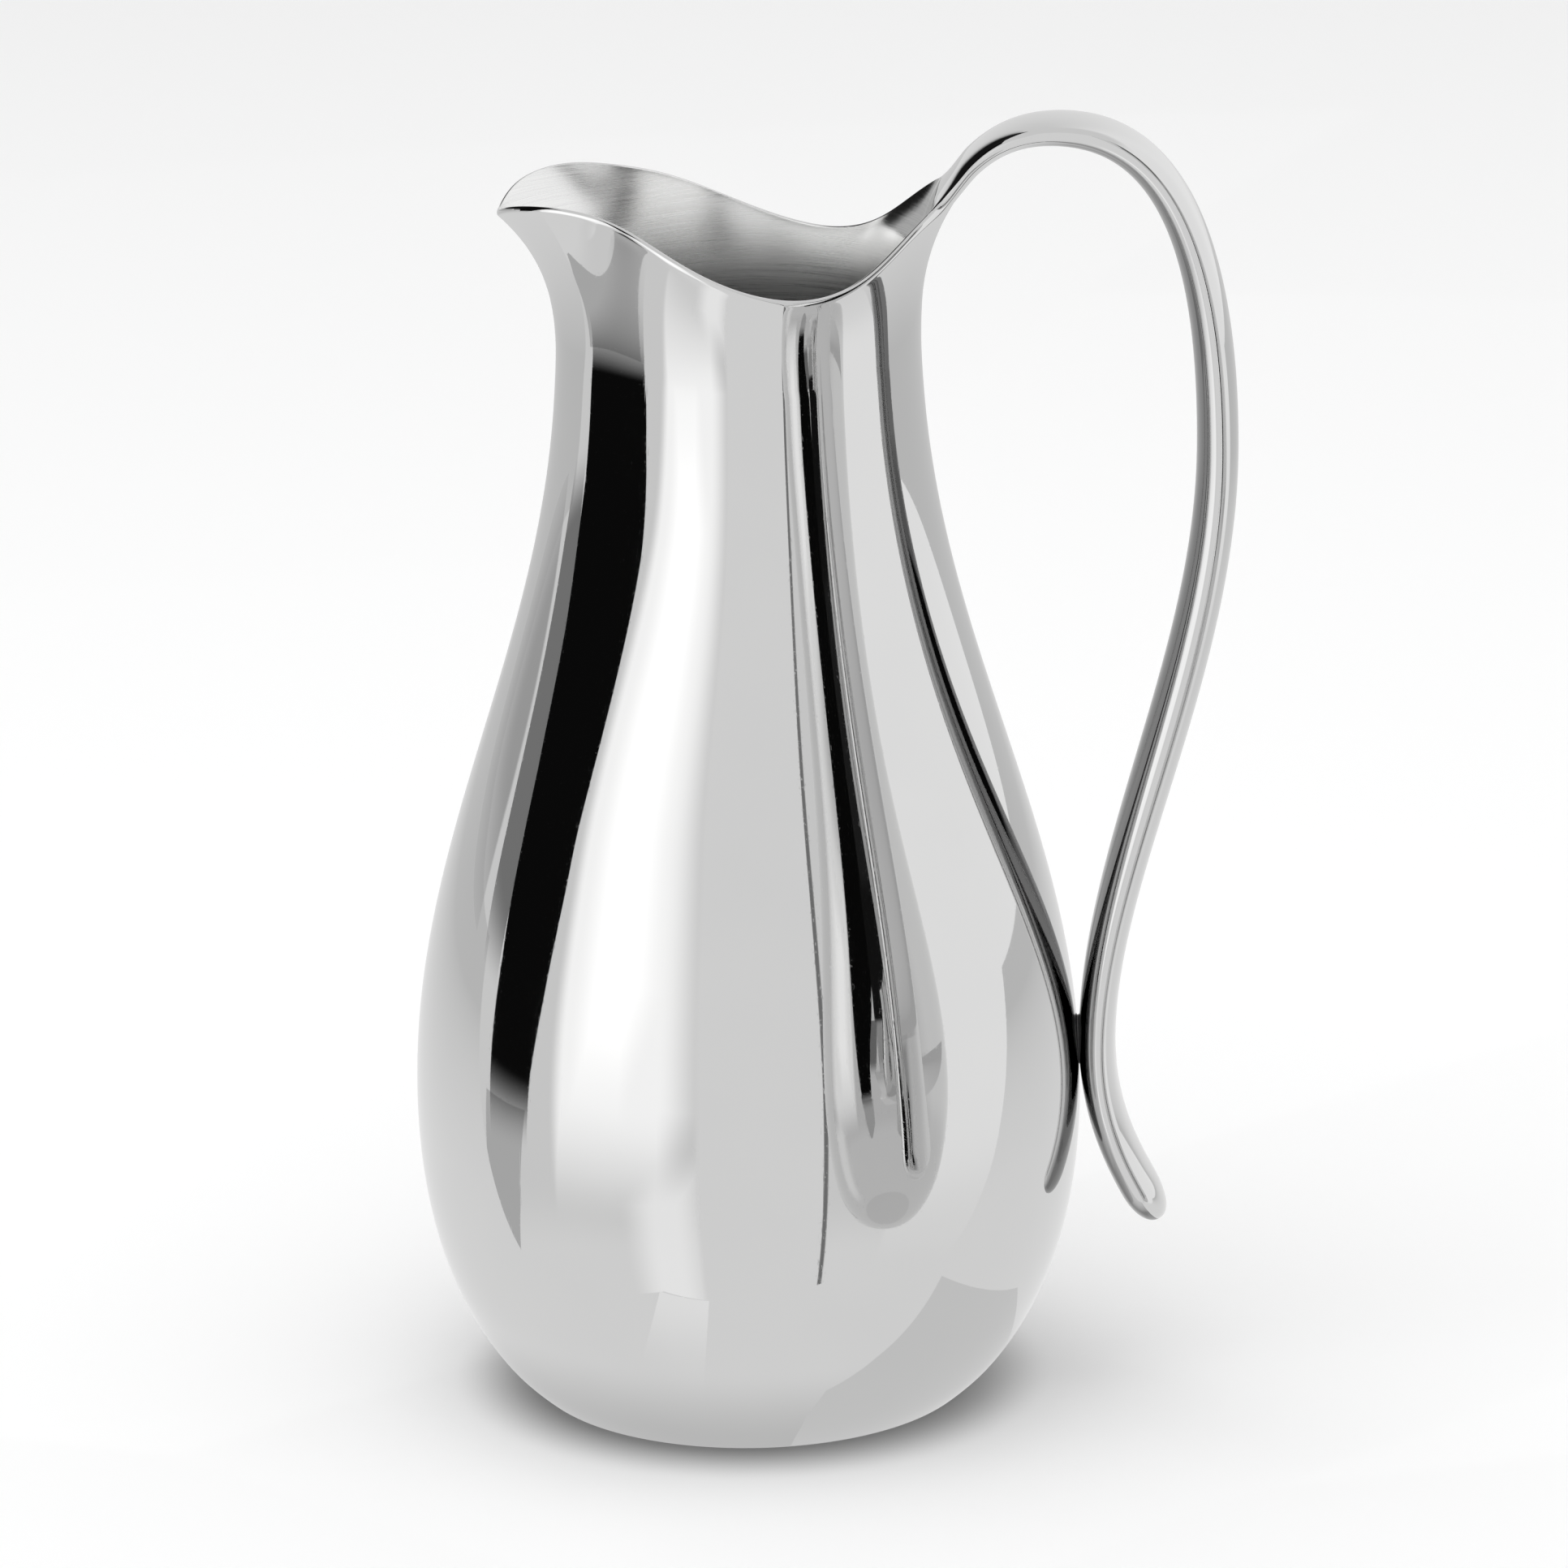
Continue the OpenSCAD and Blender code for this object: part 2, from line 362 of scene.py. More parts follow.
# The handle's rows, each as (columns on top, columns underneath, seam on the -Y side, seam on +Y)
C = ROOT_COLUMNS
js = list(range(-C, C + 1))
rows = [([inner[-1][j % COLUMNS] for j in js], [outer[-1][j % COLUMNS] for j in js],
         rim_top[(-C) % COLUMNS], rim_top[C])]
tail_start = HANDLE_LENGTH - TAIL_ROUND
ROOT_STATIONS = [1.5, 4.0, 7.5, 11.5]     # along the path, where the width still changes quickly
EVEN_FROM, EVEN_ROWS, LAST_GAP = 16, 54, 3
stations = ROOT_STATIONS + list(np.linspace(EVEN_FROM, tail_start - LAST_GAP, EVEN_ROWS))
stations.append(tail_start)
TAIL_ROWS = (0.22, 0.44, 0.64, 0.83, 1.0)
TAIL_EDGE = 0.955         # the faces' outermost column in the tail; the seam itself is at 1


def handle_row(s):
    top = [add(section_point(s, spread(j, TOP_POWER), 1)) for j in js]
    under = [add(section_point(s, spread(j, UNDER_POWER), -1)) for j in js]
    return top, under, add(section_point(s, -1, 0)), add(section_point(s, 1, 0))


def tail_row(q):
    def point(j, edge, side):
        across, forward = tail_place(q, j, edge)
        return add(section_point(tail_start + TAIL_ROUND*forward, across, side))
    return ([point(j, TAIL_EDGE, 1) for j in js], [point(j, TAIL_EDGE, -1) for j in js],
            point(-C, 1.0, 0), point(C, 1.0, 0))


first = handle_row(stations[0])
middle = []
for low, high in zip(rows[0][:2], first[:2]):
    middle.append([add(0.5*(verts[a] + verts[b])) for a, b in zip(low, high)])
middle += [add(0.5*(verts[a] + verts[b])) for a, b in zip(rows[0][2:], first[2:])]
rows += [tuple(middle), first] + [handle_row(s) for s in stations[1:]]
rows += [tail_row(q) for q in TAIL_ROWS]
ROOT_ROWS = 3

for i, (low, high) in enumerate(zip(rows, rows[1:])):
    up, down = (ROOT, ROOT) if i < ROOT_ROWS else (OUT_FACE, IN_FACE)
    for c in range(2*C):
        face(low[0][c], high[0][c], high[0][c + 1], low[0][c + 1], up)
        face(low[1][c], low[1][c + 1], high[1][c + 1], high[1][c], down)
    for seam, end in ((2, 0), (3, 2*C)):
        quads = [(low[0][end], low[seam], high[seam], high[0][end]),
                 (low[seam], low[1][end], high[1][end], high[seam])]
        for quad, zone in zip(quads, (up, down)):
            face(*(quad[::-1] if end else quad), zone)

last = rows[-1]
end_seam = [last[2]] + [add(section_point(tail_start + TAIL_ROUND*math.cos(a), math.sin(a), 0))
                        for a in (math.radians(TAIL_FAN*j/C) for j in js[1:-1])] + [last[3]]
for c in range(2*C):
    face(last[0][c], end_seam[c], end_seam[c + 1], last[0][c + 1], OUT_FACE)
    face(end_seam[c], last[1][c], last[1][c + 1], end_seam[c + 1], IN_FACE)


def limit_points(points, quads):
    """Where a Catmull-Clark surface puts each of its control points."""
    q = np.array(quads)
    edges, corners, count = np.zeros_like(points), np.zeros_like(points), np.zeros(len(points))
    for i in range(4):
        np.add.at(edges, q[:, i], (points[q[:, i - 1]] + points[q[:, (i + 1) % 4]])/2)
        np.add.at(corners, q[:, i], points[q[:, (i + 2) % 4]])
        np.add.at(count, q[:, i], 1)
    n = count[:, None]
    return (n*n*points + 4*edges + corners)/(n*(n + 5))


FOLLOW = 0.9              # share of the smoothing's shrinkage that the control points make up for
LIP_CREASE = 0.55
LEVELS = 2

wanted = np.array(verts)
control = wanted + FOLLOW*(wanted - limit_points(wanted, faces))


def fine_surface(points, quads, zone_list, levels):
    """The subdivided surface as arrays: points, faces, their zones and smooth normals."""
    mesh = bpy.data.meshes.new("surface")
    mesh.from_pydata((points*MM).tolist(), [], quads)
    for _ in range(ZONE_COUNT):
        mesh.materials.append(None)
    mesh.polygons.foreach_set("material_index", zone_list)
    obj = bpy.data.objects.new("surface", mesh)
    bpy.context.scene.collection.objects.link(obj)
    crease = mesh.attributes.new("crease_edge", "FLOAT", "EDGE")
    lip = set(inner[-1])
    for edge in mesh.edges:
        a, b = edge.vertices
        if a in lip and b in lip:
            crease.data[edge.index].value = LIP_CREASE
    modifier = obj.modifiers.new("smooth", "SUBSURF")
    modifier.levels = modifier.render_levels = levels
    graph = bpy.context.evaluated_depsgraph_get()
    fine = bpy.data.meshes.new_from_object(obj.evaluated_get(graph))
    co = np.zeros(len(fine.vertices)*3)
    fine.vertices.foreach_get("co", co)
    normals = np.zeros(len(fine.vertices)*3)
    fine.vertex_normals.foreach_get("vector", normals)
    loops = np.zeros(len(fine.loops), int)
    fine.loops.foreach_get("vertex_index", loops)
    zone_of = np.zeros(len(fine.polygons), int)
    fine.polygons.foreach_get("material_index", zone_of)
    bpy.data.objects.remove(obj)
    bpy.data.meshes.remove(mesh)
    bpy.data.meshes.remove(fine)
    return co.reshape(-1, 3), loops.reshape(-1, 4), zone_of, normals.reshape(-1, 3)


def mesh_object(name, points, polygons, smooth=True):
    """A new object from points in metres."""
    mesh = bpy.data.meshes.new(name)
    mesh.from_pydata([tuple(p) for p in points], [], [tuple(int(i) for i in p) for p in polygons])
    mesh.polygons.foreach_set("use_smooth", [smooth]*len(mesh.polygons))
    mesh.update()
    obj = bpy.data.objects.new(name, mesh)
    bpy.context.scene.collection.objects.link(obj)
    return obj


def closing_faces(points, quads):
    """Faces that close the open edges left by parting the surface. The pitcher is symmetric, so
    each open edge on one side is joined to its mirror image on the other."""
    seen = {}
    for q in quads:
        for a, b in zip(q, np.roll(q, -1)):
            seen[(a, b)] = True
    open_edges = [e for e in seen if (e[1], e[0]) not in seen]
    loose = sorted({v for e in open_edges for v in e})
    spots = np.array([points[v] for v in loose])
    twins = {}
    for v, p in zip(loose, spots):
        gap = np.abs(spots - p*(1, -1, 1)).sum(axis=1)
        twins[v] = loose[int(gap.argmin())]
    closing = []
    for a, b in open_edges:
        if points[a][1] + points[b][1] > 0:
            ring = [b, a, twins[a], twins[b]]
            ring = [v for i, v in enumerate(ring) if v not in ring[:i]]
            closing.append(ring)
    return closing


def parted_piece(name, surface, wanted_zones):
    """The piece of the surface that lies in some zones, closed, with the whole surface's normals,
    so that no seam shows where two pieces meet."""
    points, quads, zone_of, normals = surface
    picked = quads[np.isin(zone_of, wanted_zones)]
    picked_zones = zone_of[np.isin(zone_of, wanted_zones)]
    used, local = np.unique(picked, return_inverse=True)
    local = local.reshape(picked.shape)
    closing = closing_faces(points[used], local)
    obj = mesh_object(name, points[used], [*local.tolist(), *closing])
    mesh = obj.data
    smooth = [True]*len(local) + [False]*len(closing)
    mesh.polygons.foreach_set("use_smooth", smooth)
    custom = np.zeros((len(mesh.loops), 3))
    count = len(local)*4
    custom[:count] = normals[used][local.reshape(-1)]
    mesh.normals_split_custom_set([tuple(n) for n in custom])
    return obj, picked_zones


surface = fine_surface(control, faces, zones, LEVELS)

# ---- small pieces ----


def rounded(profile, radius, steps=5):
    """A closed outline with its corners rounded off."""
    points = []
    n = len(profile)
    for i, p in enumerate(profile):
        p, before, after = (np.array(q, float) for q in (p, profile[i - 1], profile[(i + 1) % n]))
        start = p + (before - p)*min(radius/np.linalg.norm(before - p), 0.45)
        end = p + (after - p)*min(radius/np.linalg.norm(after - p), 0.45)
        for j in range(steps + 1):
            t = j/steps
            points.append(tuple((1 - t)**2*start + 2*t*(1 - t)*p + t*t*end))
    return points


def lathe(name, profile, segments=144):
    """Turns an outline, as [radius, height], about Z. Points on the axis become poles."""
    points, rings = [], []
    for r, z in profile:
        if r == 0:
            rings.append([len(points)]*segments)
            points.append((0, 0, z*MM))
            continue
        rings.append(list(range(len(points), len(points) + segments)))
        points += [(r*MM*math.cos(a), r*MM*math.sin(a), z*MM)
                   for a in (2*math.pi*k/segments for k in range(segments))]
    polygons = []
    for low, high in zip(rings, rings[1:] + rings[:1]):
        for k in range(segments):
            m = (k + 1) % segments
            ring = [low[k], low[m], high[m], high[k]]
            ring = [v for i, v in enumerate(ring) if v not in ring[:i]]
            if len(ring) > 2:
                polygons.append(ring)
    return mesh_object(name, points, polygons)


DOME_RUN, DOME_SHIFT, DISC_CORNER = 4.0, 0.6, 1.4
# The seam's section: how far it reaches inwards and outwards from the disc's edge, low and high
SEAM_IN, SEAM_OUT, SEAM_TOP, SEAM_H = 1.6, 1.9, 3.6, 2.2
SEAM_HOLLOW, SEAM_STEPS = 2.2, 8

inner_disc = DISC_R - RING_W
base_plate = lathe("base_plate", [(0, DOME_H)] + rounded([
    (inner_disc - DOME_RUN, DOME_H), (inner_disc, 0), (DISC_R, 0), (DISC_R, WALL),
    (inner_disc + DOME_SHIFT, WALL), (inner_disc + DOME_SHIFT - DOME_RUN, DOME_H + WALL)],
    DISC_CORNER) + [(0, DOME_H + WALL)])
base_seam = lathe("base_seam", [
    (DISC_R - SEAM_IN, WALL), (DISC_R + SEAM_OUT, WALL), (DISC_R + SEAM_TOP, WALL + SEAM_H)] + [
    (DISC_R + SEAM_TOP - (SEAM_IN + SEAM_TOP)*t, WALL + SEAM_H*(1 - t)**SEAM_HOLLOW)
    for t in (i/SEAM_STEPS for i in range(1, SEAM_STEPS))])


DOWN_FROM = 120           # along the handle's path, past the top of the loop
BEAD_HALF_W, BEAD_HALF_H = 3.1, 5.4
BEAD_WAIST = 0.14         # how much wider the bead is at its two ends
BEAD_BITE = 0.15          # how deep it reaches into the belly and the handle


def belly_radius(z):
    """Radius of the vessel's outside at a height between the belly and the neck's start."""
    ts = np.linspace(0, 1, 80)
    arc = BELLY_ARC if z < BELLY_Z else NECK_ARC
    curve = np.array([bezier(arc, t) for t in ts])
    return float(np.interp(z, curve[:, 1], curve[:, 0]))


def handle_underside(y, z):
    """How far out the handle's inner face lies, on its way down past the belly."""
    down = path_s > DOWN_FROM
    s = float(np.interp(-z, -path[down, 1], path_s[down]))
    return section_point(s, y/half_width(s), -1)[0]


def belly_bead():
    """The drop of solder that joins the handle to the belly, waisted between the two."""
    segments, levels, z0 = 48, 9, HANDLE_ARCS[3][0][1]
    points, polygons = [], []
    for i in range(levels + 1):
        t = i/levels
        grow = 1 + BEAD_WAIST*(2*t - 1)**2
        for k in range(segments):
            a = 2*math.pi*k/segments
            y, z = BEAD_HALF_W*grow*math.cos(a), z0 + BEAD_HALF_H*grow*math.sin(a)
            low = math.sqrt(belly_radius(z)**2 - y*y) - BEAD_BITE
            high = handle_underside(y, z) + BEAD_BITE
            points.append((MM*(low + (high - low)*t), MM*y, MM*z))
    for i in range(levels):
        for k in range(segments):
            m = (k + 1) % segments
            polygons.append([i*segments + k, i*segments + m, (i + 1)*segments + m, (i + 1)*segments + k])
    polygons.append(list(range(segments))[::-1])
    polygons.append([levels*segments + k for k in range(segments)])
    return mesh_object("belly_joint", points, polygons)


belly_joint = belly_bead()

# ---- materials ----


class Graph:
    """A material's node tree, built one call a node."""

    def __init__(self, name):
        self.material = bpy.data.materials.new(name)
        self.material.use_nodes = True
        self.tree = self.material.node_tree
        self.tree.nodes.clear()

    def add(self, kind, sockets=None, **settings):
        node = self.tree.nodes.new(kind)
        for key, value in settings.items():
            setattr(node, key, value)
        for key, value in (sockets or {}).items():
            if isinstance(value, bpy.types.NodeSocket):
                self.tree.links.new(value, node.inputs[key])
            else:
                node.inputs[key].default_value = value
        return node

    def math(self, operation, a, b=0.0, clamp=False):
        node = self.add("ShaderNodeMath", {0: a, 1: b}, operation=operation)
        node.use_clamp = clamp
        return node.outputs[0]

    def place(self, scale):
        """Object coordinates stretched by a scale for each axis."""
        where = self.add("ShaderNodeTexCoord").outputs["Object"]
        return self.add("ShaderNodeVectorMath", {0: where, 1: scale}, operation="MULTIPLY").outputs[0]

    def noise(self, scale, vector, detail=3.0, rough=0.5):
        node = self.add("ShaderNodeTexNoise", {"Vector": vector, "Scale": scale, "Detail": detail,
                                               "Roughness": rough})
        return node.outputs[0]

    def band(self, value, low, high, to_low=0.0, to_high=1.0):
        node = self.add("ShaderNodeMapRange", {"Value": value, "From Min": low, "From Max": high,
                                               "To Min": to_low, "To Max": to_high})
        return node.outputs[0]

    def bump(self, height, strength, distance, normal=None):
        sockets = {"Height": height, "Strength": strength, "Distance": distance}
        if normal is not None:
            sockets["Normal"] = normal
        return self.add("ShaderNodeBump", sockets).outputs[0]

    def finished(self, shader):
        """The material, with this shader node as its surface."""
        self.add("ShaderNodeOutputMaterial", {0: shader.outputs[0]})
        return self.material

    def metal(self, colour, roughness, normal, **constants):
        return self.add("ShaderNodeBsdfPrincipled", {
            "Base Color": colour, "Metallic": 1.0, "Roughness": roughness, "Normal": normal,
            **constants})

    def matt(self, colour):
        return self.add("ShaderNodeBsdfPrincipled", {
            "Base Color": colour, "Roughness": 0.9, "Specular IOR Level": 0.2})

    def radius(self):
        """Distance from the pitcher's axis, in metres."""
        flat = self.place((1, 1, 0))
        return self.add("ShaderNodeVectorMath", {0: flat}, operation="LENGTH").outputs["Value"]

    def smooth_band(self, value, low, high, to_low, to_high):
        return self.add("ShaderNodeMapRange", {
            "Value": value, "From Min": low, "From Max": high, "To Min": to_low,
            "To Max": to_high}, interpolation_type="SMOOTHSTEP").outputs[0]

    def tint(self, share, dark, light):
        node = self.add("ShaderNodeMix", data_type="RGBA")
        self.tree.links.new(share, node.inputs[0])
        node.inputs[6].default_value = (*dark, 1)
        node.inputs[7].default_value = (*light, 1)
        return node.outputs[2]


SCRATCH_STRETCHES = ((2600, 2600, 90), (240, 2100, 2900), (2300, 160, 1500))
WORN_TO = 0.0025          # metres of height over which the standing edge is worn dull
SHADE_EDGE, SHADE_CORE = 0.0099, 0.0086   # distances in metres from the handle's middle plane
SHADE_FROM, SHADE_TO = 0.056, 0.07        # distances in metres from the vessel's axis


def polished_metal(name, shaded=False):
    """Mirror-polished metal: hairline scratches in several directions, faint smudges, wear on the
    edge that it stands on, and the slight waviness of drawn sheet. When shaded, it is darkened
    along the handle's middle, where the photograph's handle mirrors dark surroundings that this
    studio doesn't hold."""
    g = Graph(name)
    even = g.place((1, 1, 1))
    smudge = g.noise(38, even, 4)
    broad = g.noise(14, even, 1)
    lines = []
    for stretch in SCRATCH_STRETCHES:
        fine = g.noise(1, g.place(stretch), 2, 0.6)
        lines.append(g.band(fine, 0.66, 0.74))
    scratches = g.math("MAXIMUM", g.math("MAXIMUM", lines[0], lines[1]), lines[2])
    place = g.add("ShaderNodeSeparateXYZ", {0: even}).outputs
    worn = g.band(place[2], WORN_TO, 0.0, 0.0, 0.22)
    rough = g.math("ADD", g.band(smudge, 0.35, 0.75, 0.012, 0.034), g.math("MULTIPLY", scratches, 0.06))
    rough = g.math("ADD", rough, worn, clamp=True)
    wave = g.bump(broad, 0.2, 0.00008)
    normal = g.bump(scratches, 0.05, 0.00001, wave)
    colour = g.tint(smudge, (0.69, 0.69, 0.69), (0.72, 0.719, 0.716))
    # painted dark reflection: the colour is darkened in a band along the middle of the handle's inner
    # face
    if shaded:
        inner = g.band(g.math("ABSOLUTE", place[1]), SHADE_EDGE, SHADE_CORE)
        inner = g.math("MULTIPLY", inner, g.band(place[0], SHADE_FROM, SHADE_TO))
        mix = g.add("ShaderNodeMix", {0: inner}, data_type="RGBA")
        g.tree.links.new(colour, mix.inputs[6])
        mix.inputs[7].default_value = (0.26, 0.26, 0.26, 1)
        colour = mix.outputs[2]
    return g.finished(g.metal(colour, rough, normal))


def brushed_inside():
    """The inside of the vessel, brushed round its axis, and smoother beside the handle's root."""
    g = Graph("brushed_inside")
    lines = g.noise(1, g.place((34, 34, 6500)), 4, 0.6)
    coarse = g.noise(1, g.place((25, 25, 900)), 3, 0.6)
    patch = g.noise(30, g.place((1, 1, 1)), 3)
    rough = g.math("ADD", g.band(lines, 0.3, 0.7, 0.22, 0.36), g.band(patch, 0.3, 0.7, -0.03, 0.05))
    side = g.add("ShaderNodeSeparateXYZ", {0: g.place((1, 1, 1))}).outputs[0]
    rough = g.math("MULTIPLY", rough, g.band(side, 0.02, 0.034, 1.0, 0.25))
    normal = g.bump(g.math("ADD", lines, g.math("MULTIPLY", coarse, 0.3)), 0.24, 0.00003)
    tangent = g.add("ShaderNodeTangent", direction_type="RADIAL", axis="Z").outputs[0]
    colour = g.tint(g.band(lines, 0.35, 0.65), (0.79, 0.79, 0.79), (0.91, 0.91, 0.9))
    return g.finished(g.metal(colour, rough, normal, Anisotropic=0.4, Tangent=tangent))


def spun_base():
    """The base disc, with turning marks round its centre."""
    g = Graph("spun_base")
    even = g.place((1, 1, 1))
    rings = g.add("ShaderNodeTexNoise", {"W": g.radius(), "Scale": 2600, "Detail": 3},
                  noise_dimensions="1D").outputs[0]
    patch = g.noise(45, even, 3)
    rough = g.math("ADD", g.band(rings, 0.3, 0.7, 0.2, 0.36), g.band(patch, 0.3, 0.7, -0.03, 0.05))
    normal = g.bump(rings, 0.25, 0.00003)
    return g.finished(g.metal(g.tint(patch, (0.60, 0.60, 0.60), (0.70, 0.70, 0.69)), rough, normal))


def solder_metal(name, dark, light):
    """Solder, duller and slightly rippled."""
    g = Graph(name)
    even = g.place((1, 1, 1))
    ripple = g.noise(420, even, 3)
    grain = g.noise(2400, even, 2)
    rough = g.math("ADD", g.band(ripple, 0.3, 0.7, 0.22, 0.4), g.band(grain, 0.3, 0.7, -0.04, 0.06))
    normal = g.bump(ripple, 0.4, 0.0001)
    return g.finished(g.metal(g.tint(grain, dark, light), rough, normal))


polished, inside, spun = polished_metal("polished_metal"), brushed_inside(), spun_base()
shaded = polished_metal("polished_inner_face_painted_dark", shaded=True)
solder = solder_metal("solder_metal", (0.52, 0.52, 0.52), (0.66, 0.66, 0.65))
dark_solder = solder_metal("dark_solder", (0.1, 0.1, 0.1), (0.2, 0.2, 0.2))

vessel, vessel_zones = parted_piece("vessel", surface, [VESSEL, INSIDE])
root_joint, _ = parted_piece("root_joint", surface, [ROOT])
handle_top, _ = parted_piece("handle_top", surface, [OUT_FACE])
handle_under, _ = parted_piece("handle_under", surface, [IN_FACE])
vessel.data.materials.append(polished)
vessel.data.materials.append(inside)
slots = [0]*len(vessel.data.polygons)
slots[:len(vessel_zones)] = [int(zone == INSIDE) for zone in vessel_zones]
vessel.data.polygons.foreach_set("material_index", slots)

PIECES = [(vessel, None, "body_shell", "mirror_metal"),
          (root_joint, polished, "root_solder", "solder"),
          (handle_top, polished, "handle_outer", "mirror_metal"),
          (handle_under, shaded, "handle_inner", "mirror_metal"),
          (base_plate, spun, "base_disc", "satin_metal"),
          (base_seam, solder, "base_solder", "solder"),
          (belly_joint, dark_solder, "belly_solder", "solder")]
for piece, material, node, slot in PIECES:
    if material:
        piece.data.materials.append(material)
    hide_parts(node)
    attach(piece, "root")

# ---- studio ----


CONTACT_R, SHADE_R = 0.043, 0.066   # metres from the axis: where the floor's ring of shade is
                                    # darkest, and where it ends


def floor_material():
    """The pale floor, with a painted ring of shade near the vessel, as in the photograph."""
    g = Graph("pale_floor")
    near = g.smooth_band(g.radius(), CONTACT_R, SHADE_R, 1.0, 0.0)
    return g.finished(g.matt(g.tint(near, (0.93, 0.93, 0.93), (0.36, 0.36, 0.36))))


def table_material():
    """What the metal sees of the table: a glow with painted shade under the vessel, and less glow far
    away.
    """
    g = Graph("mirrored_table")
    radius = g.radius()
    under = g.smooth_band(radius, 0.044, 0.075, 0.62, 0.86)
    shade = g.math("MULTIPLY", under, g.band(radius, 0.2, 0.9, 1.0, 0.74))
    return g.finished(g.add("ShaderNodeEmission", {"Color": (1, 1, 1, 1), "Strength": shade}))


def card_material(name, radiance):
    """An even glow that fades out where the card's "share" attribute falls from 1 to 0."""
    g = Graph(name)
    share = g.add("ShaderNodeAttribute", attribute_name="share").outputs["Fac"]
    smooth = g.smooth_band(share, 0.0, 1.0, 0.0, 1.0)
    glow = g.add("ShaderNodeEmission", {"Color": (1, 1, 1, 1), "Strength": radiance}).outputs[0]
    clear = g.add("ShaderNodeBsdfTransparent").outputs[0]
    return g.finished(g.add("ShaderNodeMixShader", {0: smooth, 1: clear, 2: glow}))


def only_reflected(obj):
    """Keeps a studio object in the metal's reflections and out of everything else."""
    obj.visible_camera = obj.visible_diffuse = obj.visible_shadow = False
    obj.visible_transmission = obj.visible_volume_scatter = False


def around(azimuth, distance, height=0.0):
    """A place round the pitcher: azimuth 0 is in front of it, and 90 is on the handle's side."""
    a = math.radians(azimuth)
    return (distance*math.sin(a), -distance*math.cos(a), height)


def reflected_card(name, points, polygons, shares, radiance):
    """A glowing card that only mirrors see. Each point has its share of the glow."""
    obj = mesh_object(name, points, polygons, False)
    share = obj.data.attributes.new("share", "FLOAT", "POINT")
    share.data.foreach_set("value", shares)
    obj.data.materials.append(card_material(name, radiance))
    only_reflected(obj)


def stops(low, high, soft, step):
    """Places from low to high and how much of the card's glow each has, less within the soft
    margin at each end."""
    even = np.linspace(low + soft[0], high - soft[1], max(2, round((high - low)/step)))
    places = [(float(p), 1.0) for p in even]
    if soft[0]:
        places = [(low, 0.0)] + places
    if soft[1]:
        places = places + [(high, 0.0)]
    return places


DEGREES_APART, METRES_APART = 5, 10   # between a card's columns and rows, never fewer than two


def standing_card(name, azimuths, distance, heights, radiance, side=(0, 0), end=(0, 0)):
    """An upright card, curved round the pitcher, with soft margins in degrees and in metres."""
    across = stops(*azimuths, side, DEGREES_APART)
    up = stops(*heights, end, METRES_APART)
    points = [around(a, distance, h) for h, _ in up for a, _ in across]
    shares = [min(m, n) for _, m in up for _, n in across]
    n = len(across)
    polygons = [(i*n + j, i*n + j + 1, (i + 1)*n + j + 1, (i + 1)*n + j)
                for i in range(len(up) - 1) for j in range(n - 1)]
    reflected_card(name, points, polygons, shares, radiance)


def floor_shape(name, corners, radiance, shares=None):
    """A patch that mirrors see on the table; its corners are in millimetres."""
    points = [(x*MM, y*MM, PATCH_HEIGHT) for x, y in corners]
    reflected_card(name, points, [tuple(range(len(points)))], shares or [1.0]*len(points), radiance)


FLOOR_HALF = 6            # metres
FLOOR_HEIGHT, PATCH_HEIGHT = -0.0002, 0.0004   # metres, just below and above the mirrored table

floor = mesh_object("floor", [(FLOOR_HALF*x, FLOOR_HALF*y, FLOOR_HEIGHT)
                              for x, y in ((-1, -1), (1, -1), (1, 1), (-1, 1))],
                    [(0, 1, 2, 3)], False)
floor.data.materials.append(floor_material())
floor.visible_glossy = False

world = bpy.data.worlds.new("studio")
bpy.context.scene.world = world
world.use_nodes = True
backdrop = world.node_tree.nodes["Background"]
backdrop.inputs["Color"].default_value = (1, 1, 1, 1)
backdrop.inputs["Strength"].default_value = 0.78

bpy.context.scene.view_settings.view_transform = "Standard"


def softbox(name, azimuth, height, distance, size, radiance):
    """A square lamp turned to the pitcher, seen by neither the camera nor the mirrors."""
    light = bpy.data.lights.new(name, "AREA")
    light.shape, light.size, light.size_y = "RECTANGLE", size, size
    light.energy = radiance*math.pi*size*size
    obj = bpy.data.objects.new(name, light)
    bpy.context.scene.collection.objects.link(obj)
    obj.location = around(azimuth, distance, height)
    obj.rotation_euler = (Vector((0, 0, 0.12)) - obj.location).to_track_quat("-Z", "Y").to_euler()
    obj.visible_camera = obj.visible_glossy = False


softbox("overhead_softbox", -30, 2.2, 0.5, 2.4, 1.25)

# What the polished metal mirrors: a pale table, cut off in front of the vessel and darker under it,
# and round it and below it a white softbox and a grey panel in front, pale walls, and black flags on
# the spout's side. The table's corners are in millimetres.
TABLE = [(-4000, 1000), (-120, -55), (-40, -114), (62, -117), (112, -66), (4000, 1300),
         (4000, 4000), (-4000, 4000)]
table = mesh_object("mirrored_table", [(x*MM, y*MM, 0) for x, y in TABLE],
                    [tuple(range(len(TABLE)))], False)
table.data.materials.append(table_material())
only_reflected(table)

FAR = 2.0                 # metres to the walls of the studio
EYE = 0.08                # height in metres that elevations are measured from


def rise(elevation, distance=FAR):
    """Height at which a wall of the studio is seen at an elevation."""
    return EYE + distance*math.tan(math.radians(elevation))


def far_card(name, azimuths, elevations, radiance, side=(0, 0), end=(0, 0), distance=FAR):
    """A wall panel between two azimuths and two elevations, with soft margins in degrees."""
    low, high = (rise(e)*distance/FAR for e in elevations)
    ends = [abs(rise(e) - rise(e + s)) for e, s in zip(elevations, (end[0], -end[1]))]
    standing_card(name, azimuths, distance, (low, high), radiance, side=side, end=ends)


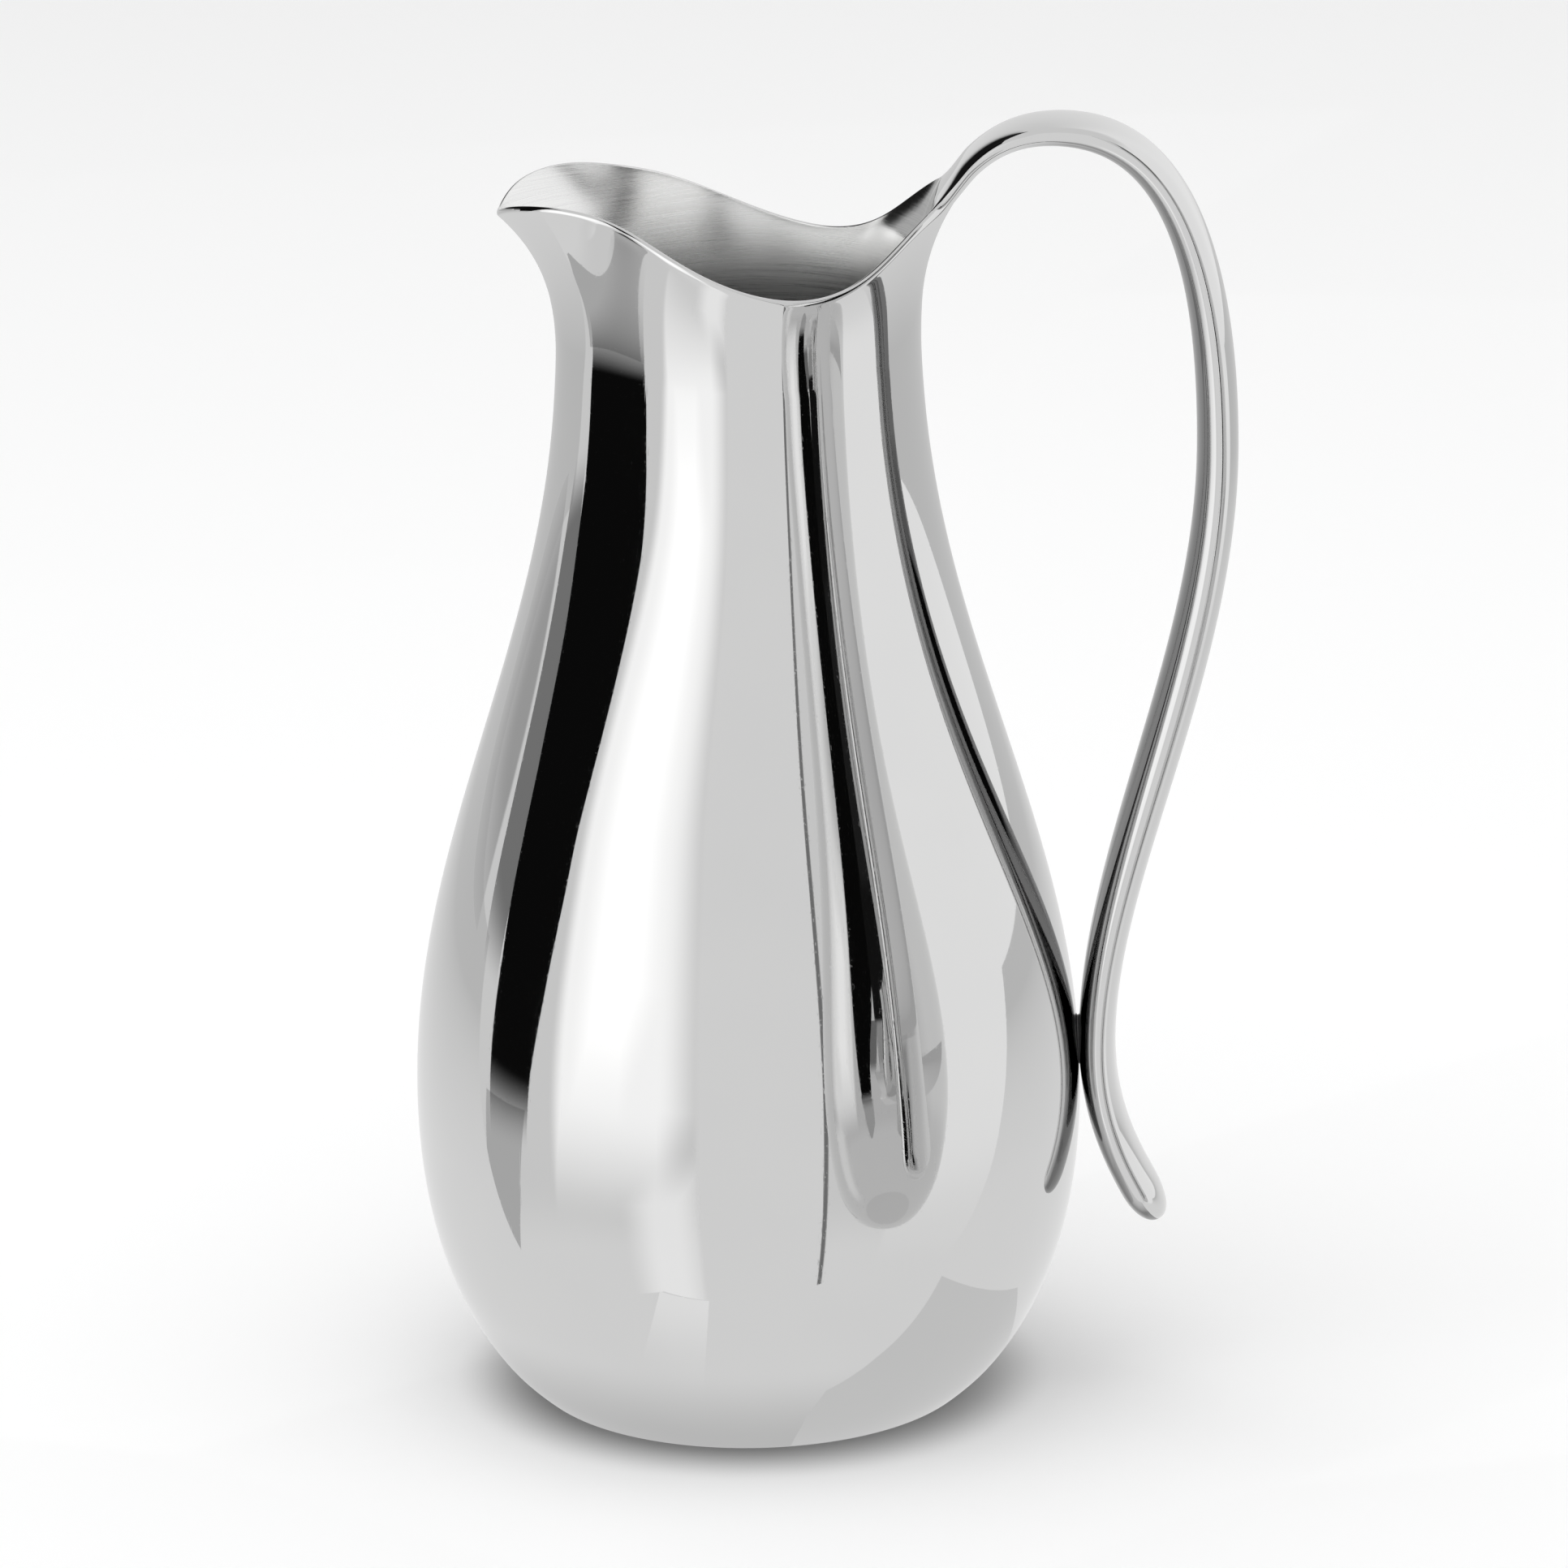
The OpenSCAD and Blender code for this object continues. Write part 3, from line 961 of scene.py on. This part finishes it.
far_card("floor_below", (-180, 180), (-66, -20), 0.86, end=(0, 12), distance=2.2)
far_card("side_wall", (50, 190), (-34, 62), 1.0, side=(8, 45), end=(22, 16), distance=2.15)
far_card("softbox_white", (-67, -10), (-26, 50), 1.25, side=(6, 17), end=(20, 10), distance=2.1)
far_card("softbox_core", (-60, -24), (-12, 40), 1.5, side=(13, 16), end=(20, 10), distance=2.05)
far_card("table_sheen", (-42, -8), (-62, -12), 1.08, side=(14, 14), end=(20, 10), distance=2.04)
floor_shape("table_glow", [(-42, -112.5), (-14, -114), (-9, -62), (-31, -66)], 1.0, [1, 1, 0, 0])
far_card("grey_panel", (-15, 30), (-41, 60), 0.86, side=(3, 0), distance=2.0)
far_card("panel_edge", (28.8, 30.8), (-40, 60), 0.2, side=(0.4, 0.6), distance=1.98)
far_card("back_wall", (-165, -110), (-5, 55), 0.42, side=(14, 2), end=(9, 10), distance=1.96)


def far_shape(name, rows, radiance, distance):
    """A wall panel given as rows of (elevation, azimuth from, azimuth to, share of the glow)."""
    points = [around(a, distance, rise(row[0], distance)) for row in rows for a in row[1:3]]
    polygons = [(i, i + 1, i + 3, i + 2) for i in range(0, len(points) - 2, 2)]
    reflected_card(name, points, polygons, [row[3] for row in rows for _ in range(2)], radiance)


far_shape("black_flag", [(-17, -94, -77, 0), (-8, -94, -75, 1), (0, -94, -72, 1), (10, -97, -69, 1),
                         (20, -104, -67, 1), (32, -111, -65, 1), (62, -116, -62, 1)], 0.004, 1.9)
far_shape("back_flag", [(15, -150, -112, 0), (23, -153, -112, 1), (62, -153, -112, 1)], 0.02, 1.94)
standing_card("high_flag", (-165, -97), 0.45, (0.29, 0.95), 0.01, side=(10, 0), end=(0.03, 0.1))
far_shape("flag_side", [(-3, -104, -95, 0), (3, -107, -95, 1), (18, -113, -95, 1)], 0.22, 1.92)
far_shape("flag_foot", [(-31, -92, -89, 1), (-24, -98, -83, 1), (-12, -96, -77, 1)], 0.52, 1.95)
floor_shape("table_patch", [(90, 4), (100, -60), (45, -61), (25, -60), (17, -54), (9, -43),
                            (0, 0), (40, 10)], 0.72)

# A second pitcher stands in for the vessel whose mirror image the photograph seems to show. Its
# place is in metres and its turn in degrees.
NEIGHBOUR_AT, NEIGHBOUR_SIZE, NEIGHBOUR_TURN = (0.37, -0.315, -0.1), 2.5, 131
for piece, *_ in PIECES:
    twin = bpy.data.objects.new("reflected_" + piece.name, piece.data)
    bpy.context.scene.collection.objects.link(twin)
    twin.location = NEIGHBOUR_AT
    twin.scale = [NEIGHBOUR_SIZE]*3
    twin.rotation_euler = (0, 0, math.radians(NEIGHBOUR_TURN))
    if piece == handle_under:
        twin.material_slots[0].link = "OBJECT"
        twin.material_slots[0].material = polished
    only_reflected(twin)

# ---- camera, at the photograph's viewing angle ----

LOOK_AT = Vector((8.42, 0.59, 132.86))*MM
CAMERA_AT = Vector((122.1, -1625.4, 615.7))*MM
ROLL = -0.76              # degrees
FILM_WIDTH, FOCAL_LENGTH = 36, 183.3
camera_data = bpy.data.cameras.new("camera")
camera = bpy.data.objects.new("camera", camera_data)
bpy.context.scene.collection.objects.link(camera)
camera.location = CAMERA_AT
turn = (LOOK_AT - CAMERA_AT).to_track_quat("-Z", "Y").to_matrix()
camera.rotation_euler = (turn @ Matrix.Rotation(math.radians(ROLL), 3, "Z")).to_euler()
camera_data.sensor_width = FILM_WIDTH
camera_data.lens = FOCAL_LENGTH
camera_data.clip_start, camera_data.clip_end = 0.05, 50
bpy.context.scene.camera = camera
